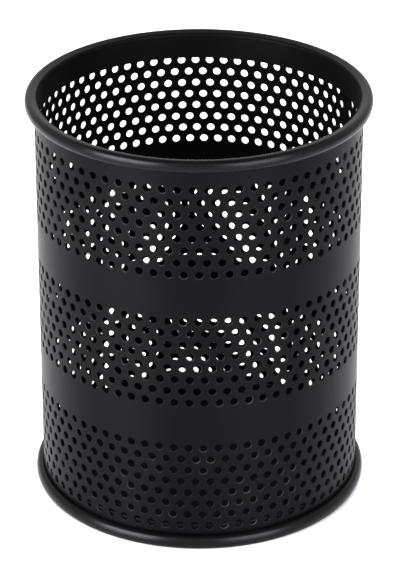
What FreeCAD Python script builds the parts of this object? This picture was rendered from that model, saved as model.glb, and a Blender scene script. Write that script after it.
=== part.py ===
"""Pen holder cup in perforated sheet steel.

A tube of thin sheet, pierced by three bands of small holes, stands between two
rolled rings.  Each ring has a bead outside the tube and a leg inside it, so the
edge of the sheet sits in a channel.  A dished pan inside the foot ring is the
floor.  The tube is drawn in three courses, one to each band of holes, that meet in
the plain bands.  Origin: centre of the foot, on the table.  +Z up.  -Y is the front.
"""
import FreeCAD, Part
import Sketcher
import math
import os

SIZES = [
    # sheet and tube
    ("wall_diameter", 77.7, "outside diameter of the tube"),
    ("gauge", 0.5, "thickness of the tube and of both rings"),
    ("wall_bottom", 1.6, "lower edge of the tube, inside the foot ring's channel"),
    ("lower_course_top", 33.0, "height at which the tube's lower course ends, in a plain band"),
    ("middle_course_top", 66.4, "height at which its middle course ends, in the other plain band"),
    ("wall_top", 99.7, "upper edge of the tube, inside the rim's channel"),
    # rim
    ("overall_height", 101.5, "table to the top of the rim"),
    ("rim_bead", 3.08, "outside diameter of the rim's bead"),
    ("rim_leg_bottom", 94.5, "lower edge of the rim's inner leg"),
    # foot ring
    ("foot_bead", 2.8, "width of the foot ring's bead, from its inner to its outer side"),
    ("foot_side", 0.8, "height of the upright part of the bead's outer side"),
    ("foot_flat", 1.0, "width of the flat that the cup stands on"),
    ("foot_leg_top", 5.8, "upper edge of the foot ring's inner leg"),
    # floor pan
    ("pan_gauge", 0.6, "thickness of the floor pan"),
    ("pan_height", 0.8, "table to the underside of the floor pan"),
    ("pan_edge_top", 5.2, "top of the pan's turned-up edge"),
    ("pan_corner", 1.6, "outside radius of the pan's bend"),
    # seam of the rolled sheet
    ("seam_azimuth", 21.8, "direction of the seam, degrees from +X towards +Y"),
    ("seam_width", 1.0, "width of the pressed weld along the seam"),
    ("seam_rise", 0.25, "how far the weld stands proud inside the tube"),
    ("seam_bottom", 6.2, "lower end of the proud weld, above the foot ring's leg"),
    ("seam_top", 93.9, "upper end of the proud weld, below the rim's leg"),
    ("seam_groove", 0.24, "width of the fine groove left outside along the seam"),
    ("seam_groove_depth", 0.15, "depth of that groove"),
    # perforation
    ("hole_diameter", 1.9, "diameter of each hole"),
    ("columns_per_turn", 69.28, "hole pitches in one turn of the tube"),
    ("row_pitch", 3.0175, "height between neighbouring rows"),
    ("top_row_height", 93.31, "height of the highest row, measured at the front"),
    ("rows_per_band", 8, "rows in a band"),
    ("rows_left_out", 3, "rows left out between two bands"),
    ("first_column", -46, "first whole column, counted from the front"),
    ("last_column", 21, "last whole column, counted from the front"),
    ("column_start", -0.405, "where column 0 of the top row lies, in pitches from the front"),
    ("column_drift", -0.01444, "sideways step from row to row, in pitches"),
    ("row_climb", -0.9012, "rise of a row over one whole turn of the sheet"),
]


COURSES = [
    # name, band of holes from the top, lower edge, upper edge, lower and upper end of the weld
    ("lower", 2, "wall_bottom", "lower_course_top", "seam_bottom", "lower_course_top"),
    ("middle", 1, "lower_course_top", "middle_course_top", "lower_course_top", "middle_course_top"),
    ("upper", 0, "middle_course_top", "wall_top", "middle_course_top", "seam_top"),
]


def add_sizes(doc):
    """Spreadsheet that holds every driving dimension."""
    sheet = doc.addObject("Spreadsheet::Sheet", "Sizes")
    for index, (alias, value, note) in enumerate(SIZES):
        cell = "B%d" % (index + 1)
        sheet.set("A%d" % (index + 1), alias)
        sheet.set(cell, repr(value))
        sheet.setAlias(cell, alias)
        sheet.set("C%d" % (index + 1), note)
    doc.recompute()
    return sheet


def origin_plane(body, role):
    for feature in body.Origin.OriginFeatures:
        if feature.Role == role:
            return feature
    raise RuntimeError("no plane %s in %s" % (role, body.Name))


def add_body(doc, name):
    body = doc.addObject("PartDesign::Body", name)
    body.Label = name
    return body


def add_sketch(body, name, role, height=None):
    """Sketch on one of the body's own planes, lifted by an expression."""
    sketch = body.newObject("Sketcher::SketchObject", name)
    sketch.AttachmentSupport = [(origin_plane(body, role), "")]
    sketch.MapMode = "FlatFace"
    if height:
        sketch.setExpression("AttachmentOffset.Base.z", height)
    return sketch


def bind(sketch, kind, where, value, expression):
    """Add a dimension to a sketch and bind it to the spreadsheet."""
    index = sketch.addConstraint(Sketcher.Constraint(kind, *where, value))
    sketch.setExpression("Constraints[%d]" % index, expression)


def join(sketch, first, first_end, second, second_end):
    sketch.addConstraint(Sketcher.Constraint("Coincident", first, first_end, second, second_end))


def level(sketch, first, first_end, second, second_end):
    sketch.addConstraint(Sketcher.Constraint("Horizontal", first, first_end, second, second_end))


def line(sketch, start, end):
    points = [FreeCAD.Vector(start[0], start[1], 0), FreeCAD.Vector(end[0], end[1], 0)]
    return sketch.addGeometry(Part.LineSegment(*points), False)


def arc(sketch, centre, radius, start_deg, end_deg):
    circle = Part.Circle(FreeCAD.Vector(centre[0], centre[1], 0), FreeCAD.Vector(0, 0, 1), radius)
    piece = Part.ArcOfCircle(circle, math.radians(start_deg), math.radians(end_deg))
    return sketch.addGeometry(piece, False)


def polar_deg(centre, point):
    return math.degrees(math.atan2(point[1] - centre[1], point[0] - centre[0]))


def add_circle(sketch, radius, expression):
    centre = FreeCAD.Vector(0, 0, 0)
    index = sketch.addGeometry(Part.Circle(centre, FreeCAD.Vector(0, 0, 1), radius), False)
    join(sketch, index, 3, -1, 1)
    bind(sketch, "Radius", (index,), radius, expression)


def add_strip(sketch, low_x, high_x, width, expressions):
    """Rectangle from low_x to high_x, centred on the sketch's X axis."""
    corners = [(low_x, -width / 2), (high_x, -width / 2), (high_x, width / 2), (low_x, width / 2)]
    sides = [line(sketch, corners[i], corners[(i + 1) % 4]) for i in range(4)]
    for i in range(4):
        join(sketch, sides[i], 2, sides[(i + 1) % 4], 1)
    sketch.addConstraint(Sketcher.Constraint("Horizontal", sides[0]))
    sketch.addConstraint(Sketcher.Constraint("Horizontal", sides[2]))
    sketch.addConstraint(Sketcher.Constraint("Vertical", sides[3]))
    sketch.addConstraint(Sketcher.Constraint("Symmetric", sides[1], 1, sides[1], 2, -1))
    bind(sketch, "DistanceX", (-1, 1, sides[0], 1), low_x, expressions[0])
    bind(sketch, "DistanceX", (-1, 1, sides[0], 2), high_x, expressions[1])
    bind(sketch, "DistanceY", (sides[1], 1, sides[1], 2), width, expressions[2])


def revolve(body, sketch, name):
    feature = body.newObject("PartDesign::Revolution", name)
    feature.Profile = sketch
    feature.ReferenceAxis = (sketch, ["V_Axis"])
    feature.Angle = 360
    sketch.Visibility = False
    return feature


def make_top_rim(doc, sheet):
    """Ring round the mouth: leg inside the tube, bead curled outwards over its edge."""
    body = add_body(doc, "top_rim")
    sketch = add_sketch(body, "rim_section", "XZ_Plane")
    wall = sheet.wall_diameter / 2
    outer = sheet.rim_bead / 2
    inner = outer - sheet.gauge
    leg = wall - 2 * sheet.gauge
    centre = (leg + outer, sheet.overall_height - outer)
    back = wall - centre[0]
    tip_low = (wall, centre[1] - math.sqrt(outer ** 2 - back ** 2))
    tip_high = (wall, centre[1] - math.sqrt(inner ** 2 - back ** 2))
    low = sheet.rim_leg_bottom

    leg_in = line(sketch, (leg, low), (leg, centre[1]))
    bead_out = arc(sketch, centre, outer, polar_deg(centre, tip_low), 180)
    tip = line(sketch, tip_low, tip_high)
    bead_in = arc(sketch, centre, inner, polar_deg(centre, tip_high), 180)
    leg_out = line(sketch, (leg + sheet.gauge, centre[1]), (leg + sheet.gauge, low))
    leg_end = line(sketch, (leg + sheet.gauge, low), (leg, low))

    join(sketch, leg_in, 2, bead_out, 2)
    join(sketch, bead_out, 1, tip, 1)
    join(sketch, tip, 2, bead_in, 1)
    join(sketch, bead_in, 2, leg_out, 1)
    join(sketch, leg_out, 2, leg_end, 1)
    join(sketch, leg_end, 2, leg_in, 1)
    join(sketch, bead_out, 3, bead_in, 3)
    for side in (leg_in, tip, leg_out):
        sketch.addConstraint(Sketcher.Constraint("Vertical", side))
    sketch.addConstraint(Sketcher.Constraint("Horizontal", leg_end))
    level(sketch, bead_out, 3, bead_out, 2)
    level(sketch, bead_in, 3, bead_in, 2)
    bind(sketch, "Radius", (bead_out,), outer, "Sizes.rim_bead / 2")
    bind(sketch, "Radius", (bead_in,), inner, "Sizes.rim_bead / 2 - Sizes.gauge")
    bind(sketch, "DistanceX", (-1, 1, leg_in, 1), leg, "Sizes.wall_diameter / 2 - 2 * Sizes.gauge")
    bind(sketch, "DistanceY", (-1, 1, leg_in, 1), low, "Sizes.rim_leg_bottom")
    bind(sketch, "DistanceY", (-1, 1, bead_out, 3), centre[1], "Sizes.overall_height - Sizes.rim_bead / 2")
    bind(sketch, "DistanceX", (-1, 1, tip, 1), wall, "Sizes.wall_diameter / 2")
    revolve(body, sketch, "rim_ring")
    return body


def make_foot_ring(doc, sheet):
    """Ring round the foot: a taller curl turned over, with a narrow flat to stand on."""
    body = add_body(doc, "foot_ring")
    sketch = add_sketch(body, "foot_section", "XZ_Plane")
    wall = sheet.wall_diameter / 2
    outer = sheet.foot_bead / 2
    inner = outer - sheet.gauge
    leg = wall - 2 * sheet.gauge
    half = sheet.foot_flat / 2
    low = (leg + outer, math.sqrt(outer ** 2 - half ** 2))
    high = (low[0], low[1] + sheet.foot_side)
    back = wall - low[0]
    tip_high = (wall, high[1] + math.sqrt(outer ** 2 - back ** 2))
    tip_low = (wall, high[1] + math.sqrt(inner ** 2 - back ** 2))
    flat_in = (low[0] - half, 0.0)
    flat_out = (low[0] + half, 0.0)
    top = sheet.foot_leg_top

    leg_in = line(sketch, (leg, top), (leg, low[1]))
    heel = arc(sketch, low, outer, 180, 360 + polar_deg(low, flat_in))
    flat = line(sketch, flat_in, flat_out)
    sole = arc(sketch, low, outer, polar_deg(low, flat_out), 0)
    side_out = line(sketch, (low[0] + outer, low[1]), (high[0] + outer, high[1]))
    crown_out = arc(sketch, high, outer, 0, polar_deg(high, tip_high))
    tip = line(sketch, tip_high, tip_low)
    crown_in = arc(sketch, high, inner, 0, polar_deg(high, tip_low))
    side_in = line(sketch, (high[0] + inner, high[1]), (low[0] + inner, low[1]))
    sole_in = arc(sketch, low, inner, 180, 360)
    leg_out = line(sketch, (leg + sheet.gauge, low[1]), (leg + sheet.gauge, top))
    leg_end = line(sketch, (leg + sheet.gauge, top), (leg, top))

    join(sketch, leg_in, 2, heel, 1)
    join(sketch, heel, 2, flat, 1)
    join(sketch, flat, 2, sole, 1)
    join(sketch, sole, 2, side_out, 1)
    join(sketch, side_out, 2, crown_out, 1)
    join(sketch, crown_out, 2, tip, 1)
    join(sketch, tip, 2, crown_in, 2)
    join(sketch, crown_in, 1, side_in, 1)
    join(sketch, side_in, 2, sole_in, 2)
    join(sketch, sole_in, 1, leg_out, 1)
    join(sketch, leg_out, 2, leg_end, 1)
    join(sketch, leg_end, 2, leg_in, 1)
    join(sketch, heel, 3, sole, 3)
    join(sketch, heel, 3, sole_in, 3)
    join(sketch, crown_out, 3, crown_in, 3)
    for upright in (leg_in, side_out, tip, leg_out):
        sketch.addConstraint(Sketcher.Constraint("Vertical", upright))
    for flat_line in (flat, leg_end):
        sketch.addConstraint(Sketcher.Constraint("Horizontal", flat_line))
    level(sketch, heel, 3, heel, 1)
    level(sketch, sole, 3, sole, 2)
    level(sketch, sole_in, 3, sole_in, 1)
    level(sketch, sole_in, 3, sole_in, 2)
    level(sketch, crown_out, 3, crown_out, 1)
    level(sketch, crown_in, 3, crown_in, 1)
    sketch.addConstraint(Sketcher.Constraint("Equal", heel, sole))
    sketch.addConstraint(Sketcher.Constraint("Equal", heel, crown_out))
    sketch.addConstraint(Sketcher.Constraint("Equal", sole_in, crown_in))
    sketch.addConstraint(Sketcher.Constraint("PointOnObject", flat, 1, -1))
    bind(sketch, "Radius", (heel,), outer, "Sizes.foot_bead / 2")
    bind(sketch, "Radius", (sole_in,), inner, "Sizes.foot_bead / 2 - Sizes.gauge")
    bind(sketch, "DistanceX", (flat, 1, flat, 2), 2 * half, "Sizes.foot_flat")
    bind(sketch, "DistanceY", (side_out, 1, side_out, 2), sheet.foot_side, "Sizes.foot_side")
    bind(sketch, "DistanceX", (-1, 1, leg_in, 1), leg, "Sizes.wall_diameter / 2 - 2 * Sizes.gauge")
    bind(sketch, "DistanceY", (-1, 1, leg_in, 1), top, "Sizes.foot_leg_top")
    bind(sketch, "DistanceX", (-1, 1, tip, 1), wall, "Sizes.wall_diameter / 2")
    revolve(body, sketch, "foot_curl")
    return body


def circular_edge(shape, radius, height):
    """Name of the whole-circle edge with this radius at this height."""
    for index, edge in enumerate(shape.Edges):
        curve = edge.Curve
        if not isinstance(curve, Part.Circle):
            continue
        if abs(curve.Radius - radius) < 1e-4 and abs(curve.Center.z - height) < 1e-4:
            return "Edge%d" % (index + 1)
    raise RuntimeError("no edge of radius %.3f at height %.3f" % (radius, height))


def make_floor_pan(doc, sheet):
    """Round floor with a turned-up edge that fits inside the foot ring's leg."""
    body = add_body(doc, "floor_pan")
    radius = sheet.wall_diameter / 2 - 2 * sheet.gauge
    disc = add_sketch(body, "pan_outline", "XY_Plane", "Sizes.pan_height")
    add_circle(disc, radius, "Sizes.wall_diameter / 2 - 2 * Sizes.gauge")
    blank = body.newObject("PartDesign::Pad", "pan_blank")
    blank.Profile = disc
    blank.setExpression("Length", "Sizes.pan_edge_top - Sizes.pan_height")
    doc.recompute()

    hollow = add_sketch(body, "pan_inside", "XY_Plane", "Sizes.pan_height + Sizes.pan_gauge")
    add_circle(
        hollow,
        radius - sheet.pan_gauge,
        "Sizes.wall_diameter / 2 - 2 * Sizes.gauge - Sizes.pan_gauge",
    )
    dish = body.newObject("PartDesign::Pocket", "pan_dish")
    dish.Profile = hollow
    dish.Type = "ThroughAll"
    dish.Reversed = True
    doc.recompute()

    bend_out = body.newObject("PartDesign::Fillet", "pan_bend_outside")
    bend_out.Base = (dish, [circular_edge(dish.Shape, radius, sheet.pan_height)])
    bend_out.setExpression("Radius", "Sizes.pan_corner")
    doc.recompute()

    edge = circular_edge(bend_out.Shape, radius - sheet.pan_gauge, sheet.pan_height + sheet.pan_gauge)
    bend_in = body.newObject("PartDesign::Fillet", "pan_bend_inside")
    bend_in.Base = (bend_out, [edge])
    bend_in.setExpression("Radius", "Sizes.pan_corner - Sizes.pan_gauge")
    doc.recompute()
    for used in (disc, hollow):
        used.Visibility = False
    return body


def make_rolled_course(doc, sheet, name, low, high, weld_low, weld_high):
    """Plain course of the tube with its seam: a weld proud inside, a fine groove outside.

    The body is turned so that its own X axis points along the seam.
    """
    body = add_body(doc, "rolled_" + name)
    wall = sheet.wall_diameter / 2
    ring = add_sketch(body, name + "_section", "XY_Plane", "Sizes." + low)
    add_circle(ring, wall, "Sizes.wall_diameter / 2")
    add_circle(ring, wall - sheet.gauge, "Sizes.wall_diameter / 2 - Sizes.gauge")
    tube = body.newObject("PartDesign::Pad", name + "_tube")
    tube.Profile = ring
    tube.setExpression("Length", "Sizes.%s - Sizes.%s" % (high, low))
    doc.recompute()

    weld = add_sketch(body, name + "_weld_section", "XY_Plane", "Sizes." + weld_low)
    add_strip(
        weld,
        wall - sheet.gauge - sheet.seam_rise,
        wall - sheet.gauge / 2,
        sheet.seam_width,
        (
            "Sizes.wall_diameter / 2 - Sizes.gauge - Sizes.seam_rise",
            "Sizes.wall_diameter / 2 - Sizes.gauge / 2",
            "Sizes.seam_width",
        ),
    )
    ridge = body.newObject("PartDesign::Pad", name + "_weld_ridge")
    ridge.Profile = weld
    ridge.setExpression("Length", "Sizes.%s - Sizes.%s" % (weld_high, weld_low))
    doc.recompute()

    slot = add_sketch(body, name + "_groove_section", "XY_Plane", "Sizes." + low)
    add_strip(
        slot,
        wall - sheet.seam_groove_depth,
        wall + sheet.gauge,
        sheet.seam_groove,
        (
            "Sizes.wall_diameter / 2 - Sizes.seam_groove_depth",
            "Sizes.wall_diameter / 2 + Sizes.gauge",
            "Sizes.seam_groove",
        ),
    )
    groove = body.newObject("PartDesign::Pocket", name + "_seam_groove")
    groove.Profile = slot
    groove.Type = "ThroughAll"
    groove.Reversed = True
    doc.recompute()
    if groove.Shape.Volume >= ridge.Shape.Volume - 0.3:
        raise RuntimeError("the seam groove cut nothing")
    for used in (ring, weld, slot):
        used.Visibility = False
    axis = FreeCAD.Vector(0, 0, 1)
    body.Placement = FreeCAD.Placement(FreeCAD.Vector(0, 0, 0), FreeCAD.Rotation(axis, sheet.seam_azimuth))
    body.setExpression("Placement.Rotation.Angle", "Sizes.seam_azimuth * 1 deg")
    doc.recompute()
    return body


def hole_places(sheet, band):
    """Azimuth in degrees and height of every hole in a band, 0 being the highest band.

    The rows are staggered by half a pitch.  The pattern was cut as one flat grid
    with whole rows left out between the bands.  It lies slightly askew on the
    sheet, so each row starts a little further round and climbs a little on its way.
    """
    places = []
    for row_in_band in range(int(sheet.rows_per_band)):
        row = band * int(sheet.rows_per_band + sheet.rows_left_out) + row_in_band
        first = int(sheet.first_column) - row % 2
        for column in range(first, int(sheet.last_column) + 1):
            steps = column + 0.5 * (row % 2) + sheet.column_start + sheet.column_drift * row
            turns = steps / sheet.columns_per_turn
            height = sheet.top_row_height - row * sheet.row_pitch + turns * sheet.row_climb
            places.append((-90.0 + 360.0 * turns, height))
    return places


def make_punches(doc, sheet, name, band):
    """The hole cutters of one band as one compound of small radial cylinders."""
    wall = sheet.wall_diameter / 2
    start = wall - 2.0 * sheet.gauge
    length = 3.0 * sheet.gauge
    cutters = []
    for azimuth, height in hole_places(sheet, band):
        angle = math.radians(azimuth)
        outward = FreeCAD.Vector(math.cos(angle), math.sin(angle), 0)
        base = outward * start + FreeCAD.Vector(0, 0, height)
        cutters.append(Part.makeCylinder(sheet.hole_diameter / 2, length, base, outward))
    punches = doc.addObject("Part::Feature", name + "_punches")
    punches.Shape = Part.makeCompound(cutters)
    punches.Placement = FreeCAD.Placement()
    return punches, len(cutters)


def make_wall_course(doc, sheet, name, band, low, high, weld_low, weld_high):
    """One course of the tube with its band of holes."""
    rolled = make_rolled_course(doc, sheet, name, low, high, weld_low, weld_high)
    punches, count = make_punches(doc, sheet, name, band)
    wall = doc.addObject("Part::Cut", "wall_" + name)
    wall.Label = "perforated_wall_" + name
    wall.Base = rolled
    wall.Tool = punches
    doc.recompute()
    removed = rolled.Shape.Volume - wall.Shape.Volume
    one_hole = math.pi * sheet.hole_diameter ** 2 / 4 * sheet.gauge
    print("%s: %d holes, removed %.1f mm3 of %.1f" % (name, count, removed, count * one_hole))
    if abs(removed / (count * one_hole) - 1.0) > 0.02:
        raise RuntimeError("some holes were not cut through")
    return wall


def check(doc, pieces):
    for item in doc.Objects:
        if "Invalid" in item.State or "Error" in item.State:
            raise RuntimeError("%s failed: %s" % (item.Name, item.State))
    for piece in pieces:
        shape = piece.Shape
        if shape.isNull() or not shape.isValid() or len(shape.Solids) != 1:
            raise RuntimeError("%s is not one valid solid" % piece.Label)


def main():
    os.makedirs("parts", exist_ok=True)
    doc = FreeCAD.newDocument("pen_cup")
    sheet = add_sizes(doc)
    pieces = [make_top_rim(doc, sheet), make_foot_ring(doc, sheet), make_floor_pan(doc, sheet)]
    pieces += [make_wall_course(doc, sheet, *course) for course in COURSES]
    doc.recompute()
    check(doc, pieces)
    for piece in pieces:
        piece.Shape.exportStep("parts/%s.step" % piece.Label)
        box = piece.Shape.optimalBoundingBox(False)
        print(
            "%-23s volume %9.1f  x %.2f..%.2f  y %.2f..%.2f  z %.2f..%.2f"
            % (piece.Label, piece.Shape.Volume, box.XMin, box.XMax, box.YMin, box.YMax, box.ZMin, box.ZMax)
        )


main()
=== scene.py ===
"""Pen holder cup in black powder-coated perforated steel, on a plain pale floor.

The tube, the two rolled rings and the floor pan are rebuilt here as fine smooth
meshes, with outer faces within 0.3 mm of the CAD model's: the tube with its rounded
hole lips and its seam, and the rings and the pan as turned sections.
"""
import math
from collections import namedtuple

import bpy
import numpy as np
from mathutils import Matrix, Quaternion, Vector
from mathutils.geometry import delaunay_2d_cdt
from mathutils.kdtree import KDTree


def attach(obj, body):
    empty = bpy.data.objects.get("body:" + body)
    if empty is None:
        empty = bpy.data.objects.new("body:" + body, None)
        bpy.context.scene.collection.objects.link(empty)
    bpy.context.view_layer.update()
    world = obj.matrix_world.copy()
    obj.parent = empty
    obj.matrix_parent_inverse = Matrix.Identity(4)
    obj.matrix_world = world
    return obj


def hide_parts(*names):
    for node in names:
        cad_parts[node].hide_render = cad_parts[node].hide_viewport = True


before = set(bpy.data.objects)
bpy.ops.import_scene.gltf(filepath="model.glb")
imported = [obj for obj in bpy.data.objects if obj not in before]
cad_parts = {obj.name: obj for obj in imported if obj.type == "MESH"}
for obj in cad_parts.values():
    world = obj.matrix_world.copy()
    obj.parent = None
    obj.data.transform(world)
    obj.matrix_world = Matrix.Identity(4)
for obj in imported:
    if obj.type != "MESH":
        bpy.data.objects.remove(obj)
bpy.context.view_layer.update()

MM = 0.001
TURN = 2 * math.pi
UP = np.array((0.0, 0.0, 1.0))
TINY = 1e-6

# Tube, in millimetres, as in the CAD model.
WALL_OUT = 38.85
WALL_IN = 38.35
WALL_LOW = 1.6
WALL_TOP = 99.7

# Rim and foot points nearer the axis than this, the legs, are inside the cup.
LEGS_RADIUS = WALL_IN + 0.01

# Hole pattern: one flat grid with rows left out between the bands.
HOLE_RADIUS = 0.95
LIP_RADIUS = 1.1
LIP_DEPTH = 0.14
LIP_TILT = 0.3
HOLE_SIDES = 16
COLUMNS_PER_TURN = 69.28
ROW_PITCH = 3.0175
TOP_ROW = 93.31
BANDS = 3
ROWS_PER_BAND = 8
ROWS_LEFT_OUT = 3
FIRST_COLUMN = -46
LAST_COLUMN = 21
COLUMN_START = -0.405
COLUMN_DRIFT = -0.01444
ROW_CLIMB = -0.9012

# Seam of the rolled sheet.
SEAM = 21.8 / 360
WELD_HALF_WIDTH = 0.48
WELD_RISE = 0.23
WELD_LOW = 6.2
WELD_TOP = 93.9
WELD_RUN_OUT = 1.5
GROOVE_HALF_WIDTH = 0.14
GROOVE_DEPTH = 0.13

# How finely the pieces are meshed, and how clear of holes and seam the plain points stay.
STEPS_ROUND = 138
STEPS_UP_SEAM = 66
PLAIN_ROWS = 34
HOLE_CLEARANCE = 2.15
SEAM_CLEARANCE = 1.0
TURNED_SIDES = 288

# Stage, in metres and degrees. The lens is in millimetres.
FLOOR_HALF = 6.0
SKY = [(0.0, 0.7), (0.3, 1.15), (0.5, 1.4), (0.75, 0.7), (0.95, 0.3)]
LIGHTS_AIM = Vector((0, 0, 0.05))
CAMERA_PLACE = Vector((0.0, -0.61727, 0.35970))
CAMERA_AIM = Vector((0.0002, 0.0, 0.0503))
CAMERA_ROLL = -0.077
CAMERA_LENS = 179.12


def hole_places():
    """(turns, height) of every hole; 0 turns is +X, a quarter turn is +Y."""
    places = []
    for band in range(BANDS):
        for row_in_band in range(ROWS_PER_BAND):
            row = band * (ROWS_PER_BAND + ROWS_LEFT_OUT) + row_in_band
            for column in range(FIRST_COLUMN - row % 2, LAST_COLUMN + 1):
                steps = column + 0.5 * (row % 2) + COLUMN_START + COLUMN_DRIFT * row
                turns = steps / COLUMNS_PER_TURN
                places.append((turns - 0.25, TOP_ROW - row * ROW_PITCH + turns * ROW_CLIMB))
    return places


def bump_profile(distance, half_width):
    """Rounded ridge profile, 1 at the middle and 0 at the edge, and its slope."""
    if abs(distance) >= half_width:
        return 0.0, 0.0
    phase = math.pi * distance / half_width
    return 0.5 * (1 + math.cos(phase)), -0.5 * math.pi / half_width * math.sin(phase)


def weld_run(z):
    """How far the weld stands proud along the seam: full, with short run-outs at its ends."""
    lower = min(max((z - WELD_LOW) / WELD_RUN_OUT, 0.0), 1.0)
    upper = min(max((WELD_TOP - z) / WELD_RUN_OUT, 0.0), 1.0)
    share = lower * upper
    # two waves make the bead's height uneven
    ripple = 1 + 0.1 * math.sin(z * 2.3) + 0.06 * math.sin(z * 5.1 + 1.0)
    return share * share * (3 - 2 * share) * ripple


def hole_rings(girth, ring_radius):
    """Flat points of every hole's ring, and the edges that join each ring up."""
    radius = girth / TURN
    points, edges = [], []
    for turns, height in hole_places():
        base = len(points)
        for k in range(HOLE_SIDES):
            a = TURN * (k + 0.5) / HOLE_SIDES
            across = radius * math.asin(ring_radius * math.cos(a) / radius)
            points.append((turns * girth + across, height + ring_radius * math.sin(a)))
            edges.append((base + k, base + (k + 1) % HOLE_SIDES))
    return points, edges


def plain_points(start, end):
    """Flat points spread evenly over the sheet, clear of its holes and of its seam."""
    girth = end - start
    centres = hole_places()
    tree = KDTree(len(centres) * 3)
    for i, (turns, height) in enumerate(centres):
        for wrap in (-1, 0, 1):
            tree.insert(Vector(((turns + wrap) * girth, height, 0)), i)
    tree.balance()
    points = []
    for j in range(1, PLAIN_ROWS):
        z = WALL_LOW + (WALL_TOP - WALL_LOW) * j / PLAIN_ROWS
        for i in range(STEPS_ROUND):
            x = start + girth * (i + 0.25 + 0.5 * (j % 2)) / STEPS_ROUND
            near_seam = min(x - start, end - x) < SEAM_CLEARANCE
            if not near_seam and tree.find(Vector((x, z, 0)))[2] > HOLE_CLEARANCE:
                points.append((x, z))
    return points


def triangulate(points, edges, ring_count):
    """Triangles over all the flat points, without those that would close a hole."""
    all_triangles, tolerance = 0, 1e-7
    made = delaunay_2d_cdt([Vector(p) for p in points], edges, [], all_triangles, tolerance)
    origin = [ids[0] for ids in made[3]]
    triangles = np.array([[origin[i] for i in t] for t in made[2]])
    rings = triangles // HOLE_SIDES
    in_hole = (rings[:, 0] == rings[:, 1]) & (rings[:, 1] == rings[:, 2])
    in_hole &= triangles.max(axis=1) < ring_count
    return triangles[~in_hole]


def skin(radius, ring_radius, seam_lines, relief, inside):
    """One face of the sheet, meshed unrolled from the seam right round to it again, then rolled up.

    seam_lines are the distances from the seam of upright lines of points on both sides of it.
    Returns positions, normals, triangles, and the indices along the lower and upper borders.
    """
    girth = TURN * radius
    start, end = (SEAM - 1.0) * girth, SEAM * girth
    points, edges = hole_rings(girth, ring_radius)
    ring_count = len(points)

    borders = []
    for z in (WALL_LOW, WALL_TOP):
        border = list(range(len(points), len(points) + STEPS_ROUND + 1))
        points += [(start + (end - start) * i / STEPS_ROUND, z) for i in range(STEPS_ROUND + 1)]
        edges += list(zip(border, border[1:]))
        borders.append(border)

    left_end, right_end = [borders[0][0], borders[1][0]], [borders[0][-1], borders[1][-1]]
    heights = np.linspace(WALL_LOW, WALL_TOP, STEPS_UP_SEAM + 1)[1:-1]
    for distance in seam_lines:
        for x in (start + distance, end - distance):
            line = list(range(len(points), len(points) + len(heights)))
            points += [(x, float(z)) for z in heights]
            edges += list(zip(line, line[1:]))
            if distance == 0.0:
                (left_end if x == start else right_end).extend(line)

    points += plain_points(start, end)
    triangles = triangulate(points, edges, ring_count)

    # the sheet's two ends become one line
    welded = list(range(len(points)))
    for left, right in zip(left_end, right_end):
        welded[left] = right
    triangles = np.array(welded)[triangles]
    borders = [[welded[i] for i in border] for border in borders]

    places, normals = [], []
    sign = -1 if inside else 1
    for x, z in points:
        angle = x / radius
        distance = x - start if x - start < end - x else x - end
        height, slope_across, slope_up = relief(distance, z)
        out = np.array((math.cos(angle), math.sin(angle), 0.0))
        across = np.array((-math.sin(angle), math.cos(angle), 0.0))
        r = radius + height
        normal = out - slope_across * across - slope_up * UP
        places.append((r * out[0], r * out[1], z))
        normals.append(sign * normal / np.linalg.norm(normal))
    return places, normals, triangles, borders


def groove(distance, z):
    """Height and slopes of the shallow line outside, at a distance from the seam."""
    height, slope = bump_profile(distance, GROOVE_HALF_WIDTH)
    return -GROOVE_DEPTH * height, -GROOVE_DEPTH * slope, 0.0


def weld(distance, z):
    """Height and slopes of the low weld ridge inside, at a distance from the seam."""
    height, slope = bump_profile(distance, WELD_HALF_WIDTH)
    run = weld_run(z)
    step = 0.05
    along = (weld_run(z + step) - weld_run(z - step)) / (2 * step)
    return -WELD_RISE * run * height, -WELD_RISE * run * slope, -WELD_RISE * along * height


def make_object(name, places, faces, normals, marks):
    """Mesh object from millimetres, with a shading normal for each face corner.

    marks gives each vertex its "wear" and how far it is on the "inside" of the cup.
    """
    mesh = bpy.data.meshes.new(name)
    mesh.from_pydata([(x * MM, y * MM, z * MM) for x, y, z in places], [], faces)
    mesh.polygons.foreach_set("use_smooth", [True] * len(mesh.polygons))
    mesh.update()
    mesh.normals_split_custom_set([tuple(n) for n in normals])
    for mark, values in marks.items():
        mesh.attributes.new(mark, "FLOAT", "POINT").data.foreach_set("value", values)
    piece = bpy.data.objects.new(name, mesh)
    bpy.context.scene.collection.objects.link(piece)
    return piece


def bore_rings():
    """Positions, and normals into the hole, of the ring where each rounded lip meets its bore."""
    radius = WALL_OUT - LIP_DEPTH
    places, normals = [], []
    for turns, height in hole_places():
        angle = turns * TURN
        out = np.array((math.cos(angle), math.sin(angle), 0.0))
        across = np.array((-math.sin(angle), math.cos(angle), 0.0))
        for k in range(HOLE_SIDES):
            a = TURN * (k + 0.5) / HOLE_SIDES
            side = math.cos(a) * across + math.sin(a) * UP
            reach = math.sqrt(radius * radius - (HOLE_RADIUS * math.cos(a)) ** 2)
            places.append(tuple(reach * out + HOLE_RADIUS * side + height * UP))
            normals.append(-side)
    return places, normals


def lip_normal(bore_normal, outward):
    """Shading normal on a bore's ring, tilted outward so that the lip looks round."""
    tilted = bore_normal + LIP_TILT * outward
    return tilted / np.linalg.norm(tilted)


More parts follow.
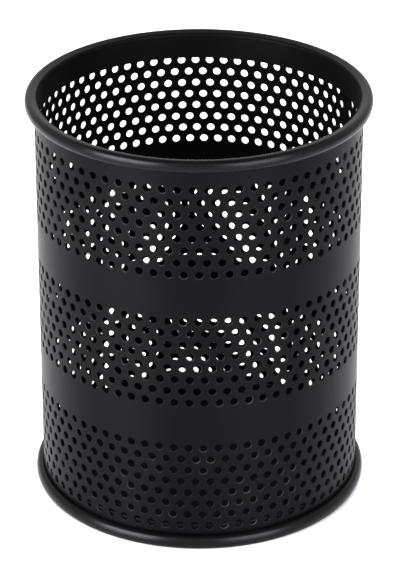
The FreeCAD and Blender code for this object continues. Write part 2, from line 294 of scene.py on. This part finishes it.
def hole_walls(out_normals, bore_normals, shift_bore, shift_in):
    """Faces and corner normals of every hole's lip and bore, from the outer skin to the inner one."""
    faces, normals = [], []
    for first in range(0, len(bore_normals), HOLE_SIDES):
        outward = np.array(out_normals[first])
        for k in range(HOLE_SIDES):
            a, b = first + k, first + (k + 1) % HOLE_SIDES
            bore_a, bore_b = bore_normals[a], bore_normals[b]
            lip_a, lip_b = lip_normal(bore_a, outward), lip_normal(bore_b, outward)
            faces.append((a, b, b + shift_bore, a + shift_bore))
            normals += [out_normals[a], out_normals[b], lip_b, lip_a]
            faces.append((a + shift_bore, b + shift_bore, b + shift_in, a + shift_in))
            normals += [lip_a, lip_b, bore_b, bore_a]
    return faces, normals


def sheet_edge(out_border, in_border, shift_in, facing):
    """Faces and corner normals across the sheet's thickness: facing is 1 at the top, -1 at the foot."""
    faces = []
    for i in range(len(out_border) - 1):
        outer, inner = out_border[i:i + 2], in_border[i:i + 2]
        face = (outer[0], outer[1], inner[1] + shift_in, inner[0] + shift_in)
        faces.append(face[::facing])
    return faces, [facing * UP] * (4 * len(faces))


def make_wall():
    """The whole perforated tube as one closed mesh, every hole with a rounded outer lip."""
    seam_out = [0.0, GROOVE_HALF_WIDTH / 2, GROOVE_HALF_WIDTH]
    seam_in = [0.0, WELD_HALF_WIDTH / 3, WELD_HALF_WIDTH * 2 / 3, WELD_HALF_WIDTH]
    out_places, out_normals, out_faces, out_borders = skin(WALL_OUT, LIP_RADIUS, seam_out, groove, False)
    in_places, in_normals, in_faces, in_borders = skin(WALL_IN, HOLE_RADIUS, seam_in, weld, True)
    bore_places, bore_normals = bore_rings()
    shift_in = len(out_places)
    shift_bore = shift_in + len(in_places)

    faces = [tuple(t) for t in out_faces.tolist()]
    normals = [out_normals[i] for t in faces for i in t]
    inner = [tuple(t[::-1]) for t in in_faces.tolist()]
    faces += [tuple(i + shift_in for i in t) for t in inner]
    normals += [in_normals[i] for t in inner for i in t]
    for more_faces, more_normals in (
        hole_walls(out_normals, bore_normals, shift_bore, shift_in),
        sheet_edge(out_borders[0], in_borders[0], shift_in, -1),
        sheet_edge(out_borders[1], in_borders[1], shift_in, 1),
    ):
        faces += more_faces
        normals += more_normals

    marks = {
        "wear": [0.0] * shift_bore + [1.0] * len(bore_places),
        "inside": [0.0] * shift_in + [1.0] * len(in_places) + [0.0] * len(bore_places),
    }
    places = out_places + in_places + bore_places
    return make_object("perforated_wall", places, faces, normals, marks)


# A point of a turned section: place and normal in the section's plane, and how worn it is.
SectionPoint = namedtuple("SectionPoint", "r z normal_r normal_z wear")


def arc(centre, radius, start, end, steps, facing=1, wear=0.0):
    """Section points along an arc, angles in degrees. A facing of -1 turns the normals to its centre."""
    points = []
    for i in range(steps + 1):
        a = math.radians(start + (end - start) * i / steps)
        c, s = math.cos(a), math.sin(a)
        r, z = centre[0] + radius * c, centre[1] + radius * s
        worn = wear if 0 < i < steps else 0.0
        points.append(SectionPoint(r, z, facing * c, facing * s, worn))
    return points


def corner(centre, radius, start, end):
    """A small rounded corner, worn along its middle."""
    return arc(centre, radius, start, end, 3, wear=1.0)


def straight(first, last, normal, steps=1):
    """Section points evenly along a straight line."""
    points = []
    for i in range(steps + 1):
        share = i / steps
        r = first[0] + (last[0] - first[0]) * share
        z = first[1] + (last[1] - first[1]) * share
        points.append(SectionPoint(r, z, normal[0], normal[1], 0.0))
    return points


def turn_section(name, strips, inside_radius):
    """Turns a closed section about the Z axis. Strips run anticlockwise, r to the right, z up.

    Points nearer the axis than inside_radius count as the inside of the cup.
    """
    angles = [TURN * k / TURNED_SIDES for k in range(TURNED_SIDES)]
    spokes = [(math.cos(a), math.sin(a)) for a in angles]
    rings, places, faces, normals = {}, [], [], []
    marks = {"wear": [], "inside": []}

    def ring(point):
        """First vertex of the point's ring, which is made when first asked for."""
        key = (round(point.r, 5), round(point.z, 5))
        if key not in rings:
            rings[key] = len(places)
            if point.r < TINY:
                places.append((0.0, 0.0, point.z))
            else:
                places.extend((point.r * c, point.r * s, point.z) for c, s in spokes)
            added = len(places) - rings[key]
            marks["wear"] += [point.wear] * added
            marks["inside"] += [1.0 if point.r < inside_radius else 0.0] * added
        return rings[key]

    def swung(point, k):
        """The point's normal, turned to spoke k."""
        c, s = spokes[k]
        return (point.normal_r * c, point.normal_r * s, point.normal_z)

    for strip in strips:
        for p, q in zip(strip, strip[1:]):
            if math.hypot(p.r - q.r, p.z - q.z) < TINY:
                continue
            first, second = ring(p), ring(q)
            for k in range(TURNED_SIDES):
                n = (k + 1) % TURNED_SIDES
                if p.r < TINY:
                    faces.append((first, second + n, second + k))
                    normals += [swung(p, k), swung(q, n), swung(q, k)]
                elif q.r < TINY:
                    faces.append((first + k, first + n, second))
                    normals += [swung(p, k), swung(p, n), swung(q, k)]
                else:
                    faces.append((first + k, first + n, second + n, second + k))
                    normals += [swung(p, k), swung(p, n), swung(q, n), swung(q, k)]
    return make_object(name, places, faces, normals, marks)


def join_up(strips):
    """Carries each strip on in a straight line from the end of the one before it."""
    for first, second in zip(strips, strips[1:]):
        end = first[-1]
        if math.hypot(end.r - second[0].r, end.z - second[0].z) > TINY:
            second.insert(0, second[0]._replace(r=end.r, z=end.z))
    return strips


def make_top_rim():
    """Rolled rim: a leg inside the tube, a tight bend, and a bead curled down outside.

    The bead is a four-centre oval: an end arc above, an end arc below, and a flatter side arc.
    """
    leg, low, gauge, soft = 38.0, 94.5, 0.35, 0.1
    bend, bend_radius = (38.8, 100.25), 0.8
    middle, half_width, half_height, end_radius = (39.85, 99.84), 1.2, 1.49, 1.1
    end_shift = half_height - end_radius
    slack = half_width - end_radius
    side_shift = (end_shift ** 2 - slack ** 2) / (2 * slack)
    side_radius = side_shift + half_width
    turn = math.degrees(math.atan2(end_shift, side_shift))
    high, deep = (middle[0], middle[1] + end_shift), (middle[0], middle[1] - end_shift)
    behind = (middle[0] - side_shift, middle[1])
    apart = math.hypot(high[0] - bend[0], high[1] - bend[1])
    lean = math.atan2(high[1] - bend[1], high[0] - bend[0])
    over = math.degrees(lean + math.acos((bend_radius - end_radius) / apart))
    reach = middle[0] - WALL_OUT
    tip = math.degrees(math.atan2(-math.sqrt(end_radius ** 2 - reach ** 2), -reach))
    strips = [
        straight((leg + soft, low), (leg + gauge - soft, low), (0, -1)),
        corner((leg + gauge - soft, low + soft), soft, -90, 0),
        straight((leg + gauge, low + soft), (leg + gauge, bend[1]), (1, 0), 2),
        arc(bend, bend_radius - gauge, 180, over, 4, -1),
        arc(high, end_radius - gauge, over, turn, 4, -1),
        arc(behind, side_radius - gauge, turn, -turn, 6, -1),
        arc(deep, end_radius - gauge, -turn, tip, 8, -1),
        arc(deep, end_radius, tip, -turn, 16),
        arc(behind, side_radius, -turn, turn, 16),
        arc(high, end_radius, turn, over, 12),
        arc(bend, bend_radius, over, 180, 8),
        straight((leg, bend[1]), (leg, low + soft), (-1, 0), 2),
        corner((leg + soft, low + soft), soft, 180, 270),
    ]
    return turn_section("top_rim", join_up(strips), LEGS_RADIUS)


def make_foot_ring():
    """Rolled foot: a leg inside the tube, a narrow flat below, and a taller bead outside.

    The bead is a four-centre oval too: end arcs above and below, side arcs outside and inside.
    """
    middle, end_radius, side_radius, gauge, half_flat = 39.25, 1.24, 2.3, 0.5, 0.5
    side_shift, end_shift = 0.9, 0.56
    leg, top, soft = 37.85, 5.8, 0.1
    low = (middle, math.sqrt(end_radius ** 2 - half_flat ** 2))
    side_z = low[1] + end_shift
    high = (middle, side_z + end_shift)
    turn = math.degrees(math.atan2(end_shift, side_shift))
    outer_side, inner_side = (middle - side_shift, side_z), (middle + side_shift, side_z)
    end_in, side_in = end_radius - gauge, side_radius - gauge
    reach = middle - WALL_OUT
    flat = math.degrees(math.atan2(-low[1], half_flat))
    tip_out = math.degrees(math.atan2(math.sqrt(end_radius ** 2 - reach ** 2), -reach))
    tip_in = math.degrees(math.atan2(math.sqrt(end_in ** 2 - reach ** 2), -reach))
    crown = arc(high, end_radius, turn, tip_out, 12)
    cavity = arc(high, end_in, tip_in, turn, 6, -1)
    strips = [
        straight((middle - half_flat, 0.0), (middle + half_flat, 0.0), (0, -1)),
        arc(low, end_radius, flat, -turn, 6),
        arc(outer_side, side_radius, -turn, turn, 10),
        crown,
        straight(crown[-1][:2], cavity[0][:2], (-1, 0)),
        cavity,
        arc(outer_side, side_in, turn, -turn, 6, -1),
        arc(low, end_in, -turn, turn - 180, 8, -1),
        arc(inner_side, side_in, 180 + turn, 180, 4, -1),
        straight((leg + gauge, side_z), (leg + gauge, top - soft), (1, 0), 2),
        corner((leg + gauge - soft, top - soft), soft, 0, 90),
        straight((leg + gauge - soft, top), (leg + soft, top), (0, 1)),
        corner((leg + soft, top - soft), soft, 90, 180),
        straight((leg, top - soft), (leg, side_z), (-1, 0), 2),
        arc(inner_side, side_radius, 180, 180 + turn, 4),
        arc(low, end_radius, turn - 180, -180 - flat, 6),
    ]
    return turn_section("foot_ring", strips, LEGS_RADIUS)


def make_floor_pan():
    """Pressed floor: a flat disc with a bent-up edge."""
    edge, gauge, low, top, bend, soft = 37.85, 0.6, 0.8, 5.2, 1.6, 0.1
    flat_edge = edge - bend
    centre = (flat_edge, low + bend)
    strips = [
        straight((0, low), (flat_edge, low), (0, -1), 6),
        arc(centre, bend, -90, 0, 8),
        straight((edge, low + bend), (edge, top - soft), (1, 0), 2),
        corner((edge - soft, top - soft), soft, 0, 90),
        straight((edge - soft, top), (edge - gauge + soft, top), (0, 1)),
        corner((edge - gauge + soft, top - soft), soft, 90, 180),
        straight((edge - gauge, top - soft), (edge - gauge, low + bend), (-1, 0), 2),
        arc(centre, bend - gauge, 0, -90, 8, -1),
        straight((flat_edge, low + gauge), (0, low + gauge), (0, 1), 8),
    ]
    return turn_section("floor_pan", strips, edge)


def node(tree, kind, **settings):
    """New node of a kind, with the given properties."""
    made = tree.nodes.new(kind)
    for key, value in settings.items():
        setattr(made, key, value)
    return made


def noise(tree, where, scale, detail=2.0):
    """Noise about 0.5. A scale of 1 has features of about a metre."""
    made = node(tree, "ShaderNodeTexNoise")
    made.inputs["Scale"].default_value = scale
    made.inputs["Detail"].default_value = detail
    tree.links.new(where, made.inputs["Vector"])
    return made.outputs["Fac"]


def remap(tree, value, low, high, from_low=0.35, from_high=0.65):
    """Value stretched and clamped to low..high. The usual from_low..from_high is most of a noise."""
    made = node(tree, "ShaderNodeMapRange")
    made.inputs["From Min"].default_value = from_low
    made.inputs["From Max"].default_value = from_high
    made.inputs["To Min"].default_value = low
    made.inputs["To Max"].default_value = high
    tree.links.new(value, made.inputs["Value"])
    return made.outputs["Result"]


def blend_colour(tree, share, first, second):
    """The first colour where share is 0, the second where it is 1."""
    made = node(tree, "ShaderNodeMix", data_type="RGBA")
    tree.links.new(share, made.inputs["Factor"])
    colour_a, colour_b = made.inputs[6], made.inputs[7]
    for socket, colour in ((colour_a, first), (colour_b, second)):
        if isinstance(colour, tuple):
            socket.default_value = (*colour, 1.0)
        else:
            tree.links.new(colour, socket)
    return made.outputs[2]


def maths(tree, operation, first, second):
    """ADD or MULTIPLY of two values, each a socket or a number."""
    made = node(tree, "ShaderNodeMath", operation=operation)
    for socket, value in zip(made.inputs, (first, second)):
        if isinstance(value, (int, float)):
            socket.default_value = value
        else:
            tree.links.new(value, socket)
    return made.outputs["Value"]


def powder_coat(name, dark, light, smooth, rough, ior, peel):
    """Black satin powder coat: fine orange peel, uneven gloss, worn shiny edges and a little dust.

    Inside the cup the coat is thinner and drier, so it shines less.
    """
    dust, worn_through = (0.012, 0.012, 0.012), (0.028, 0.028, 0.028)
    outside_shine, inside_shine, edge_shine = 0.5, 0.16, 0.45
    fine_unevenness, wear_roughness = 0.01, 0.08
    inside_rough_low, inside_rough_high = 0.16, 0.24
    peel_height, pebble_share = 0.00004, 0.3

    material = bpy.data.materials.new(name)
    material.use_nodes = True
    tree = material.node_tree
    shader = tree.nodes["Principled BSDF"]
    shader.inputs["IOR"].default_value = ior
    shader.inputs["Specular Tint"].default_value = (0.95, 0.94, 1.0, 1.0)
    where = node(tree, "ShaderNodeTexCoord").outputs["Object"]
    cloudy = noise(tree, where, scale=38.0, detail=3.0)
    patches = noise(tree, where, scale=140.0)
    fine = noise(tree, where, scale=900.0)
    pebble = noise(tree, where, scale=2600.0, detail=1.0)
    edge = node(tree, "ShaderNodeAttribute", attribute_name="wear").outputs["Fac"]
    inside = node(tree, "ShaderNodeAttribute", attribute_name="inside").outputs["Fac"]
    wear = maths(tree, "MULTIPLY", edge, remap(tree, patches, 0.0, 1.0, from_low=0.5, from_high=0.68))

    body = blend_colour(tree, remap(tree, cloudy, 0.0, 1.0), dark, light)
    specks = remap(tree, fine, 0.0, 0.3, from_low=0.7, from_high=0.85)
    dusty = blend_colour(tree, specks, body, dust)
    tree.links.new(blend_colour(tree, wear, dusty, worn_through), shader.inputs["Base Color"])

    gloss = remap(tree, cloudy, smooth, rough)
    gloss = maths(tree, "ADD", gloss, remap(tree, fine, -fine_unevenness, fine_unevenness))
    gloss = maths(tree, "ADD", gloss, maths(tree, "MULTIPLY", wear, wear_roughness))
    dryness = remap(tree, cloudy, inside_rough_low, inside_rough_high)
    gloss = maths(tree, "ADD", gloss, maths(tree, "MULTIPLY", inside, dryness))
    tree.links.new(gloss, shader.inputs["Roughness"])

    shine = remap(tree, inside, outside_shine, inside_shine, from_low=0.0, from_high=1.0)
    shine = maths(tree, "ADD", shine, maths(tree, "MULTIPLY", edge, edge_shine))
    tree.links.new(shine, shader.inputs["Specular IOR Level"])

    grain = maths(tree, "MULTIPLY", fine, 1 - pebble_share)
    height = maths(tree, "ADD", grain, maths(tree, "MULTIPLY", pebble, pebble_share))
    bump = node(tree, "ShaderNodeBump")
    bump.inputs["Strength"].default_value = peel
    bump.inputs["Distance"].default_value = peel_height
    tree.links.new(height, bump.inputs["Height"])
    tree.links.new(bump.outputs["Normal"], shader.inputs["Normal"])
    return material


def finish_piece(piece, material, slot, *nodes):
    """Coats a piece, hangs it on the root body and hides the CAD nodes that it stands for."""
    piece.data.materials.append(material)
    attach(piece, "root")
    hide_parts(*nodes)


wall_coat = powder_coat(
    "wall_coat",
    dark=(0.0010, 0.0010, 0.0012),
    light=(0.0014, 0.0014, 0.0017),
    smooth=0.32,
    rough=0.34,
    ior=1.139,
    peel=0.15,
)
ring_coat = powder_coat(
    "ring_coat",
    dark=(0.0012, 0.0012, 0.0013),
    light=(0.0016, 0.0016, 0.0017),
    smooth=0.26,
    rough=0.28,
    ior=1.21,
    peel=0.06,
)
pan_coat = powder_coat(
    "pan_coat",
    dark=(0.0022, 0.0022, 0.0023),
    light=(0.0032, 0.0032, 0.0034),
    smooth=0.34,
    rough=0.40,
    ior=1.24,
    peel=0.25,
)

wall_nodes = [n for n in sorted(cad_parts) if n.startswith("perforated_wall")]
finish_piece(make_wall(), wall_coat, "wall_coat", *wall_nodes)
finish_piece(make_top_rim(), ring_coat, "ring_coat", "top_rim")
finish_piece(make_foot_ring(), ring_coat, "ring_coat", "foot_ring")
finish_piece(make_floor_pan(), pan_coat, "pan_coat", "floor_pan")


def make_floor():
    """Wide plain pale floor."""
    mesh = bpy.data.meshes.new("studio_floor")
    corners = [(-1, -1), (1, -1), (1, 1), (-1, 1)]
    mesh.from_pydata([(FLOOR_HALF * x, FLOOR_HALF * y, 0) for x, y in corners], [], [(0, 1, 2, 3)])
    floor = bpy.data.objects.new("studio_floor", mesh)
    bpy.context.scene.collection.objects.link(floor)
    material = bpy.data.materials.new("studio_floor")
    material.use_nodes = True
    tree = material.node_tree
    shader = tree.nodes["Principled BSDF"]
    shader.inputs["Roughness"].default_value = 0.3
    shader.inputs["Specular IOR Level"].default_value = 0.5
    where = node(tree, "ShaderNodeTexCoord").outputs["Object"]
    share = remap(tree, noise(tree, where, scale=3.0), 0.0, 1.0)
    pale = blend_colour(tree, share, (0.85, 0.85, 0.89), (0.87, 0.87, 0.91))
    tree.links.new(pale, shader.inputs["Base Color"])
    mesh.materials.append(material)


def make_world(levels):
    """Soft white surroundings. levels are (height, brightness) pairs from the horizon up."""
    world = bpy.data.worlds.new("studio")
    world.use_nodes = True
    bpy.context.scene.world = world
    tree = world.node_tree
    split = node(tree, "ShaderNodeSeparateXYZ")
    tree.links.new(node(tree, "ShaderNodeTexCoord").outputs["Generated"], split.inputs[0])
    ramp = node(tree, "ShaderNodeValToRGB")
    stops = ramp.color_ramp.elements
    while len(stops) < len(levels):
        stops.new(0.5)
    for stop, (height, brightness) in zip(stops, levels):
        stop.position = height
        stop.color = (brightness, brightness, brightness, 1.0)
    tree.links.new(split.outputs["Z"], ramp.inputs["Fac"])
    tree.links.new(ramp.outputs["Color"], tree.nodes["Background"].inputs["Color"])
    tree.nodes["Background"].inputs["Strength"].default_value = 1.0


def soft_light(name, azimuth, elevation, distance, size, radiance, glossy=True):
    """Rectangular soft light aimed at the cup. Azimuth is in degrees from the front, to the right."""
    light = bpy.data.lights.new(name, "AREA")
    light.shape = "RECTANGLE"
    light.size, light.size_y = size
    light.energy = radiance * math.pi * size[0] * size[1]
    holder = bpy.data.objects.new(name, light)
    bpy.context.scene.collection.objects.link(holder)
    a, e = math.radians(azimuth), math.radians(elevation)
    away = Vector((math.sin(a) * math.cos(e), -math.cos(a) * math.cos(e), math.sin(e)))
    holder.location = LIGHTS_AIM + away * distance
    holder.rotation_mode = "QUATERNION"
    holder.rotation_quaternion = away.to_track_quat("Z", "Y")
    holder.visible_camera = False
    holder.visible_glossy = glossy


def make_camera():
    """Long lens, about 26 degrees above the cup's middle."""
    data = bpy.data.cameras.new("camera")
    data.sensor_fit = "AUTO"
    data.sensor_width = 36.0
    data.lens = CAMERA_LENS
    data.clip_start, data.clip_end = 0.01, 50.0
    camera = bpy.data.objects.new("camera", data)
    bpy.context.scene.collection.objects.link(camera)
    camera.location = CAMERA_PLACE
    camera.rotation_mode = "QUATERNION"
    roll = Quaternion((0, 0, 1), math.radians(CAMERA_ROLL))
    camera.rotation_quaternion = (CAMERA_AIM - CAMERA_PLACE).to_track_quat("-Z", "Y") @ roll
    bpy.context.scene.camera = camera


make_floor()
make_world(SKY)
soft_light("left_softbox", -48, 12, 1.5, size=(1.0, 0.95), radiance=22.0)
soft_light("right_softbox", 36, 12, 1.5, size=(0.9, 0.95), radiance=12.0)
soft_light("overhead", 180, 62, 0.75, size=(0.9, 0.7), radiance=4.2, glossy=False)
soft_light("front_fill", 0, 50, 1.2, size=(1.2, 0.5), radiance=1.3, glossy=False)
make_camera()
bpy.context.scene.view_settings.view_transform = "Standard"
